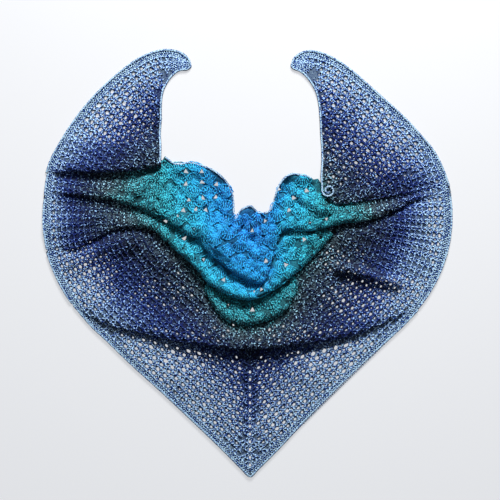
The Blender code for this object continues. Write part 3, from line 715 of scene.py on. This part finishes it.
def yarn_material(name, lightness, paleness=0.0):
    material = bpy.data.materials.new(name)
    material.use_nodes = True
    tree = material.node_tree
    tone, run = [add(tree, "Attribute", {}, attribute_name=key).outputs["Fac"]
                 for key in ("tone", "run")]
    yarn = add(tree, "Group", {"Tone": tone, "Run": run, "Lightness": lightness,
                               "Paleness": paleness}, node_tree=marl).outputs
    fuzz = add(tree, "Bump", {"Strength": 0.5, "Distance": 0.0004, "Height": yarn["Height"]})
    connect(tree, tree.nodes["Principled BSDF"], {
        "Normal": fuzz.outputs["Normal"], "Base Color": yarn["Color"], "Roughness": 0.85,
        "Specular IOR Level": 0.25, "Sheen Weight": 0.08, "Sheen Roughness": 0.5})
    return material


stitch_yarn = yarn_material("stitch_yarn", 1.0)
# The ground's copy of the yarn is darkened to a third: painted shade, the dark that falls between
# the raised strands.
ground_yarn_painted_shade = yarn_material("ground_yarn_painted_shade", 0.32)
edging_yarn = yarn_material("edging_yarn", 0.85, 0.12)

# Gaps at the feet of the fans: they are cut right through, as in the solids, and no strand
# crosses them. The small ones behind the feet near a lip show the dark layer below.
LACE_GAPS = rows_of(Gap, {
    "neck_lobes": [
        (-123, 183), (-91, 183), (-123, 159), (-91, 163), (-117, 127), (-89, 131), (-63, 133),
        (-83, 107, -20), (91, 131, 20), (83, 107, 20), (35, 85, 30), (9, 65), (-103, 108, -20),
        (-62, 158, -10), (118, 146, 15), (37, 5, 10), (62, 148, 25), (-128, 106, -10),
    ],
    "fan_band": [
        (-163, 85, -35), (-126, 50, -40), (-88, 8, -42), (-47, -32, -30), (113, 49, 35),
        (147, 53, 35), (76, -2, 40), (28, -52, 20),
    ],
    "teal_band": [(83, -37, 35), (-40, -84, -30), (10, -92)],
})
small_gaps = {name: [] for name in SECTIONS}
BIG_CLEAR, SMALL_CLEAR, BIG_GAP, SMALL_GAP = 3.4, 2.4, 6.0, 3.8

# Net: the posts of each V cross-wound from two strands, a wrap round each post, and the
# chain that runs along the top of the row.
STRAND, THIN_STRAND = 1.15, 0.8
NET_TO, LACE_FROM, MOSTLY_ON = 0.425, 0.405, 0.55
strand_parts = {kind: {name: [] for name in SECTIONS}
                for kind in ("posts", "chains", "border", "lace")}
hole_lists = {name: [] for name in SECTIONS}


def lay(kind, name, pattern, lift, radius):
    """Strands on a stretch along rows of pattern points, raised by lift off its surface."""
    place, normal, tone, on = stretches[name].wrap(pattern)
    good = on.mean(axis=1) > MOSTLY_ON
    big, small = LACE_GAPS.get(name, []), small_gaps[name]
    for gap, clear in [(gap, BIG_CLEAR) for gap in big] + [(gap, SMALL_CLEAR) for gap in small]:
        off = np.hypot(pattern[..., 0] - gap.x, pattern[..., 1] - gap.y)
        good &= off.min(axis=1) > clear
    middle = np.median(tone, axis=1)
    good &= middle >= LACE_FROM if kind == "lace" else middle < NET_TO
    if not good.any():
        return
    steps = np.arange(on.shape[1])
    gap = np.abs(steps[:, None] - steps[None]) + np.where(on, 0, 99)[:, None, :]
    nearest = gap.argmin(axis=2)
    row = np.arange(len(on))[:, None]
    points = place + normal * np.broadcast_to(lift, on.shape)[..., None]
    points, normal, tone = points[row, nearest], normal[row, nearest], tone[row, nearest]
    strand_parts[kind][name].append(strands(points[good], normal[good], tone[good], radius))


def plies(twist, swing, lift, rise):
    """The sideways swing and the lift of two plies wound round each other."""
    return [(ply * swing * np.cos(twist), lift + rise * ply * np.sin(twist)) for ply in (-1, 1)]


# Each row has the middle of a hole in shares of its cell, and its reach in millimetres.
HOLES = ((0.5, 0.43, 5.2, 3.5), (0.0, 0.74, 2.2, 1.8))
SMALLEST_HOLE, HOLE_MARGIN, FAR_EDGE_CLEAR = 0.42, 1.8, (0, 24.0)
six_turns = np.linspace(0, 2 * np.pi, 7)[:-1]
t_post, t_wrap, t_chain = [np.linspace(0, 1, steps) for steps in (6, 4, 8)]
for name, stretch in stretches.items():
    near = cells_on(stretch, net_cells)
    count = len(near)
    if not count:
        continue
    width, tall = np.array([cell[3:] for cell in near]).T[..., None]
    shove_u = chance.normal(0, 0.035, (count, 1))
    shove_v = chance.normal(0, 0.05, (count, 1))
    for hand in (-1, 1):
        top = hand * (0.29 + chance.normal(0, 0.02, (count, 1)))
        for swing, lift in plies(np.pi * 1.6 * t_post + 0.4 + hand, 1.25, -0.2, 0.7):
            u = shove_u * (1 - t_post) + top * t_post + swing / width
            v = -0.12 + 1.16 * t_post + shove_v * (1 - t_post)
            lay("posts", name, cell_points(near, u, v), lift, STRAND)
        middle = 0.42 + 0.1 * hand
        u = shove_u * (1 - middle) + top * middle + hand * (t_wrap - 0.5) * 4.6 / width
        v = middle + (t_wrap - 0.5) * 3.4 / tall + shove_v * 0.5
        lift = 0.3 + 1.0 * np.sin(np.pi * t_wrap)
        lay("posts", name, cell_points(near, u, v), lift, THIN_STRAND)
    twist = 2 * np.pi * 1.5 * t_chain + 0.8
    for ply in (-1, 1):
        u = (t_chain - 0.5) * 1.06
        v = 1.0 + ply * 1.15 * np.sin(twist) / tall
        lay("chains", name, cell_points(near, u, v), 0.75 + 0.6 * ply * np.cos(twist), STRAND)
    for center_u, center_v, reach_u, reach_v in HOLES:
        center_u = shove_u + center_u
        middle = cell_points(near, center_u, np.full(1, center_v))[:, 0]
        size = np.sqrt(openness(middle[:, 0], middle[:, 1])) * chance.uniform(0.66, 1.06, count)
        rough = chance.uniform(0.68, 1.2, (count, 6))
        u = center_u + np.cos(six_turns) * rough * size[:, None] * reach_u / width
        v = center_v + np.sin(six_turns) * rough * size[:, None] * reach_v / tall
        ring = cell_points(near, u, v)
        _, _, tone, on = stretch.wrap(ring)
        wide_on = stretch.wrap(middle[:, None] + (ring - middle[:, None]) * HOLE_MARGIN)[3]
        fine = ((size > SMALLEST_HOLE) & on.all(axis=1) & wide_on.all(axis=1)
                & (tone.mean(axis=1) < NET_TO))
        if name == "lower_point":
            fine &= stretch.wrap(middle + FAR_EDGE_CLEAR)[3]
        hole_lists[name] += list(ring[fine])

# Border: three close rows between the net and the edging, their posts side by side. Round
# the tips of the wings, where the net stops short, there are more of them.
BORDER_PITCH, BORDER_ROW, BORDER_START, TIP_REACH = 5.0, 3.9, 3.4, 52
BORDER_ROWS, TIP_ROWS = 3, 7
border_cells = []
for name, side in sides.items():
    tip = name.endswith("tip")
    for row in range(TIP_ROWS if tip else BORDER_ROWS):
        inward = BORDER_START + BORDER_ROW * (row + 0.5)
        end = TIP_REACH if tip else side.measure[-1] - 3
        for along in np.arange(5 + BORDER_PITCH / 2 * (row % 2), end, BORDER_PITCH):
            if (side.at(along, inward)[0] - SPINE_X) * side.turn > 1:
                border_cells.append(Cell(name, float(along), inward, BORDER_PITCH, BORDER_ROW))
for name, stretch in stretches.items():
    near = cells_on(stretch, border_cells)
    if not near:
        continue
    lean = chance.normal(0.12, 0.08, (len(near), 1))
    lift = 0.1 + 0.55 * np.sin(np.pi * t_wrap)
    post = cell_points(near, lean * (t_wrap - 0.5), -0.1 + 1.1 * t_wrap)
    lay("border", name, post, lift, 1.2)
    chain = cell_points(near, (t_wrap - 0.5) * 1.15, 0.98 + 0.16 * np.sin(2 * np.pi * t_wrap))
    lay("border", name, chain, 0.5 + lift, 0.85)

# Spine: where the two sides meet, each row has one shell of four posts round a hole.
BOTTOM_Y, MITRE, SPINE_HOLES_TO = -429.0, 1.376, -205
shell_rows = sorted({(cell.inward, cell.height) for cell in net_cells})
shell_foot, shell_tip = [
    np.array([BOTTOM_Y + MITRE * (inward + end * tall) for inward, tall in shell_rows])[:, None]
    for end in (0.5, -0.5)]
for name in ("lower_point", "middle_net", "fan_band"):
    for out in (-1.0, -0.36, 0.36, 1.0):
        for swing, lift in plies(np.pi * 1.6 * t_post + out, 0.8, 0.1, 0.6):
            x = SPINE_X + out * (1.8 + 11.6 * t_post) + swing + 0 * shell_foot
            y = shell_foot + (shell_tip - shell_foot) * t_post + 6.5 * abs(out) * t_post
            lay("posts", name, np.stack([x, y], axis=-1), lift, STRAND)
    twist = 4 * np.pi * t_chain
    for ply in (-1, 1):
        x = SPINE_X + 13.5 * (2 * t_chain - 1) + 0 * shell_foot
        y = shell_tip - 1.0 + 9.5 * np.abs(2 * t_chain - 1) + ply * 0.9 * np.sin(twist)
        lay("posts", name, np.stack([x, y], axis=-1), 0.8 + 0.5 * ply * np.cos(twist), STRAND)
    x = SPINE_X + 2.6 * np.cos(six_turns) + 0 * shell_foot
    y = shell_foot * 0.36 + shell_tip * 0.64 + 3.2 * np.sin(six_turns)
    ring = np.stack([x, y], axis=-1)
    fine = stretches[name].wrap(ring)[3].all(axis=1) & (ring[:, 0, 1] < SPINE_HOLES_TO)
    hole_lists[name] += list(ring[fine])

# Lace: fans of posts that spread from one foot, with an arch of chain over them. Along the
# bands they open towards the lip, and in the left lobe they stand upright.
Fan = namedtuple("Fan", "x y turn wide tall")
FAN_PITCH, FAN_ROW, FIRST_FAN, FAN_LOOK = 31.0, 25.0, 21, 8
FAN_APART, SPARE_APART, SPARE_FROM = 20.5, 17.0, 0.41
LOBE_ROWS = ((182, 22), (157, 25), (127, 29), (99, 26), (72, 26))
GAP_BACK, GAP_APART, GAP_LIPS, GAP_FROM = 4, 13, (5, 22), 0.43


def fan_middle(fan):
    turn = math.radians(fan.turn)
    return (fan.x + 0.5 * fan.tall * math.cos(turn), fan.y + 0.5 * fan.tall * math.sin(turn))


for name in ("teal_band", "fan_band", "neck_lobes"):
    stretch = stretches[name]
    rows_of_fans = [Fan(-139 + 32 * column, foot, 90, 32, tall) for column in range(-1, 4)
                    for foot, tall in LOBE_ROWS] if name == "neck_lobes" else []
    for row in range(-1, 7):
        depth = FIRST_FAN + FAN_ROW * row
        run, last = 12.0 * (row % 2), None
        for flat, measure in zip(stretch.flat, stretch.spread[..., 2]):
            if depth > measure[-1] + FAN_LOOK:
                last = None
                continue
            run_in = run_along(flat)
            depth_in = run_in[FRONT] - measure[FRONT] + depth
            at, fore = [points_at(depth_in - look, run_in, flat) for look in (0, FAN_LOOK)]
            if last is not None:
                run += float(np.hypot(*(at - last)))
            if last is None or run > FAN_PITCH:
                run = 0.0
                turn = math.degrees(math.atan2(fore[1] - at[1], fore[0] - at[0]))
                rows_of_fans.append(Fan(*at, turn, FAN_PITCH, FAN_ROW + 2))
            last = at
    # Spare fans fill what the rows leave free.
    spare = []
    for line in range(1, len(stretch.flat) - 1, 2):
        for row in range(FRONT - 3, stretch.flat.shape[1] - 2):
            x, y = stretch.flat[line, row]
            back_x, back_y = stretch.flat[line, row + 1] - stretch.flat[line, row - 1]
            if stretch.tone[line, row] > SPARE_FROM:
                turn = math.degrees(math.atan2(-back_y, -back_x))
                spare.append(Fan(x + 0.012 * turn, y, turn, 27.0, 22.0))
    wanted = [(fan, FAN_APART) for fan in rows_of_fans
              if stretch.wrap(np.array([fan_middle(fan)]))[3][0]]
    kept = []
    for fan, least in wanted + [(fan, SPARE_APART) for fan in spare]:
        middle = fan_middle(fan)
        if all(math.dist(middle, fan_middle(other)) > least for other in kept):
            kept.append(fan)
    # A small gap goes behind the foot of each fan near a lip.
    for fan in kept:
        turn = math.radians(fan.turn)
        x, y = fan.x - GAP_BACK * math.cos(turn), fan.y - GAP_BACK * math.sin(turn)
        nearest = stretch.nearest(x, y)
        from_lip = stretch.spread.reshape(-1, 3)[nearest, 2]
        clear = all(math.hypot(gap.x - x, gap.y - y) > GAP_APART for gap in LACE_GAPS[name])
        if (GAP_LIPS[0] < from_lip < GAP_LIPS[1] and clear
                and stretch.tone.ravel()[nearest] > GAP_FROM):
            small_gaps[name].append(Gap(x, y, fan.turn + chance.uniform(-30, 30)))
    foot = np.array([(fan.x, fan.y) for fan in kept])
    turn = np.radians([fan.turn for fan in kept]) + chance.normal(0, 0.09, len(kept))
    out = np.stack([np.cos(turn), np.sin(turn)], axis=1)
    over = np.stack([-np.sin(turn), np.cos(turn)], axis=1)
    wide = np.array([[fan.wide] for fan in kept]) * chance.uniform(0.92, 1.1, (len(kept), 1))
    tall = np.array([[fan.tall] for fan in kept]) * chance.uniform(0.94, 1.1, (len(kept), 1))

    def fan_points(u, v):
        return (foot[:, None] + out[:, None] * (v * tall)[..., None]
                + over[:, None] * (u * wide)[..., None])

    for post in range(8):
        angle = math.radians(-72 + 20.6 * post)
        tip_u, tip_v = 0.5 * math.sin(angle), 0.22 + 0.72 * math.cos(angle) ** 0.8
        foot_u, foot_v = 0.07 * math.sin(angle), 0.04
        bulge = 0.3 + 1.4 * np.sin(np.pi * t_post) ** 0.5
        for swing, lift in plies(np.pi * 1.7 * t_post + post, 0.75, bulge, 0.5):
            u = foot_u + (tip_u - foot_u) * t_post + swing * math.cos(angle) / wide
            v = foot_v + (tip_v - foot_v) * t_post - swing * math.sin(angle) / tall
            lay("lace", name, fan_points(u, v), lift, THIN_STRAND)
    t_arch = np.linspace(0, 1, 13)
    angle, twist = np.radians(-80 + 160 * t_arch), 2 * np.pi * 3 * t_arch
    for ply in (-1, 1):
        swell = 1 + ply * 0.045 * np.sin(twist)
        u = 0.52 * np.sin(angle) * swell
        v = (0.24 + 0.74 * np.abs(np.cos(angle)) ** 0.8) * swell
        lay("lace", name, fan_points(u, v), 0.8 + 0.6 * ply * np.cos(twist), THIN_STRAND)


def triangle(gap, turn, reach):
    angle = np.radians(gap.turn + turn + 120 * np.arange(3))
    return np.column_stack([gap.x + reach * np.cos(angle), gap.y + reach * np.sin(angle)])


for name, gaps in LACE_GAPS.items():
    for gap in gaps:
        hole_lists[name].append(triangle(gap, 90, BIG_GAP * chance.uniform(0.78, 1.12, 3)))
    for gap in small_gaps[name]:
        ring = triangle(gap, 0, SMALL_GAP)
        if stretches[name].wrap(ring)[3].all():
            hole_lists[name].append(ring)

# Edging: a braid of three light blue strands over a core, on each free edge. At the inner
# edge of the right wing it ends in a small curl that stands up.
CORD_INSET, CORD_LIFT, CORD_STEP, BRAID_PITCH = 2.4, 1.75, 1.1, 8.6
CURL_RADIUS, CURL_TURN, CURL_DROP, CURL_HEIGHT = 12.5, 500, 12.0, 19
NECK_FROM, NECK_TO, NECK_ABOVE = -163, 131, 88
trims = {name: [] for name in SECTIONS}


def braid(name, owner, edge, inner, side, curled=False):
    """A braid along an edge, moved in to the side where the cloth lies, and up off it."""
    apart = np.maximum(np.hypot(*(inner - edge)[:, :2].T), CORD_INSET)
    top = edge[:, 2] + (inner - edge)[:, 2] * CORD_INSET / apart + CORD_LIFT
    run = run_along(edge[:, :2])
    route = points_at(np.arange(0, run[-1], CORD_STEP), run,
                      np.column_stack([edge[:, :2], top]))
    for k in range(3):
        route[:, k] = blurred(route[:, k], 6, 3.0, mode="reflect", reflect_type="odd")
    heading = np.arctan2(*np.gradient(route[:, :2], axis=0).T[::-1])
    route[:, 0] -= side * CORD_INSET * np.sin(heading)
    route[:, 1] += side * CORD_INSET * np.cos(heading)
    if curled:
        share = np.linspace(0, 1, 60)[1:, None]
        turn = math.pi + np.radians(CURL_TURN * share)
        radius = CURL_RADIUS * (1 - 0.7 * share)
        start = route[-4]
        down = start + np.linspace(0, 1, 10)[:, None] * (0.0, -CURL_DROP, 0.0)
        route = np.concatenate([route[:-4], down, np.hstack([
            start[0] + CURL_RADIUS + radius * np.cos(turn),
            start[1] - CURL_DROP + radius * np.sin(turn),
            start[2] + (CURL_HEIGHT - start[2]) * smoothstep(share * 5)])])
    ahead = unit(np.gradient(route, axis=0))
    beside = unit(np.cross(ahead, (0, 0, 1)))
    above = np.cross(beside, ahead)
    measure = np.cumsum(np.linalg.norm(np.diff(route, axis=0, prepend=route[:1]), axis=1))
    parts = [strands((route - 0.35 * above)[None], above[None],
                     np.full((1, len(route)), 0.03), 1.35)]
    for ply in range(3):
        turn = 2 * math.pi * (measure / BRAID_PITCH + ply / 3)
        path = (route + beside * (1.15 * np.sin(turn))[:, None]
                + above * (0.3 + 0.5 * np.sin(2 * turn))[:, None])
        parts.append(strands(path[None], above[None], np.zeros((1, len(route))), 0.9))
    piece = make_piece("braid_" + name, *join(parts), edging_yarn, "edging")
    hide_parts("edging_" + name)
    trims[owner].append(piece)


space = stretches["lower_point"].space
braid("lower", "lower_point", space[:, FRONT], space[:, FRONT + 1], 1)
for name, hand, end, side in (("middle_net", "left", 0, -1), ("fan_band", "left", 0, -1),
                              ("neck_lobes", "left", 0, -1), ("middle_net", "right", -1, 1)):
    space = stretches[name].space[:, LIP_ROW:-2]
    braid(f"{hand}_{name}", name, space[end], space[end - side], side)
space = stretches["neck_lobes"].space
x, y, _ = space[:, -2].T
neck = np.flatnonzero((x > NECK_FROM) & (x < NECK_TO) & (y > NECK_ABOVE))
braid("neck", "neck_lobes", space[neck, -2], space[neck, -3], -1)
for name, side in (("left_wing", -1), ("right_wing", 1)):
    space = stretches[name].space
    edge, inner = [
        np.concatenate([space[line, LIP_ROW:-1], space[1:-1, row],
                        space[-1 - line, -2:FRONT - 1:-1]]) for line, row in ((0, -2), (1, -3))]
    braid(name, name, edge, inner, side, curled=name == "right_wing")

# Ground: the felted body of the cloth under the raised strands, with the holes of the net cut
# through it, coloured darker than the strands with painted shade. It is a closed shell on the
# form of each solid.
GROUND_DROP, GROUND_THICK, LEAST_UPPER, HOLE_STITCH = 1.1, 0.9, 0.9, 0.02


def anticlockwise(ring):
    ring = np.asarray(ring)
    return ring if cross(ring, np.roll(ring, -1, axis=0)).sum() > 0 else ring[::-1]


for name, stretch in stretches.items():
    flat = stretch.flat
    outline = anticlockwise(np.concatenate([flat[:, 0], flat[-1, 1:], flat[-2::-1, -1],
                                            flat[0, -2:0:-1]]))
    points = list(outline) + list(flat[1:-1:2, 1:-1].reshape(-1, 2))
    faces = [list(range(len(outline)))]
    for hole in hole_lists[name]:
        faces.append(list(range(len(points), len(points) + len(hole))))
        points += list(anticlockwise(hole))
    cut = delaunay_2d_cdt([Vector(p) for p in points], [], faces, 1, HOLE_STITCH, True)
    verts = np.array([(p.x, p.y) for p in cut[0]])
    tris = np.array([face for face, source in zip(cut[2], cut[5]) if source == [0]])
    used = np.unique(tris)
    verts, tris = verts[used], np.searchsorted(used, tris)
    place, normal, tone, on = stretch.wrap(verts)
    for k in np.flatnonzero(~on):
        nearest = stretch.nearest(*verts[k])
        place[k] = stretch.space.reshape(-1, 3)[nearest]
        normal[k], tone[k] = stretch.normal.reshape(-1, 3)[nearest], stretch.tone.ravel()[nearest]
    shift = len(verts)
    upper = place - normal * GROUND_DROP
    lower = place - normal * (GROUND_DROP + GROUND_THICK)
    upper[:, 2] = np.maximum(upper[:, 2], LEAST_UPPER)
    lower[:, 2] = np.maximum(lower[:, 2], FLOOR_CLEAR)
    edges = np.concatenate([tris[:, [0, 1]], tris[:, [1, 2]], tris[:, [2, 0]]])
    key = edges.min(axis=1) * shift + edges.max(axis=1)
    _, first, times = np.unique(key, return_index=True, return_counts=True)
    start, end = edges[first[times == 1]].T
    walls = np.column_stack([end, start, start + shift, end + shift])
    run = chance.uniform(0, 50, shift)
    values = {"tone": np.concatenate([tone, tone]), "run": np.concatenate([run, run])}
    faces = tris.tolist() + (tris[:, ::-1] + shift).tolist() + walls.tolist()
    cloth = make_piece("cloth_" + name, np.concatenate([upper, lower]), faces, values,
                       ground_yarn_painted_shade, MAKES[name].slot)
    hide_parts(name)
    dressed = list(trims[name])
    for kind, parts in strand_parts.items():
        if parts[name]:
            dressed.append(make_piece(kind + "_" + name, *join(parts[name]), stitch_yarn,
                                      MAKES[name].slot))
    width, length = np.ptp(stretch.points, axis=0) * MM
    float(stretch.area()) * 1e-6
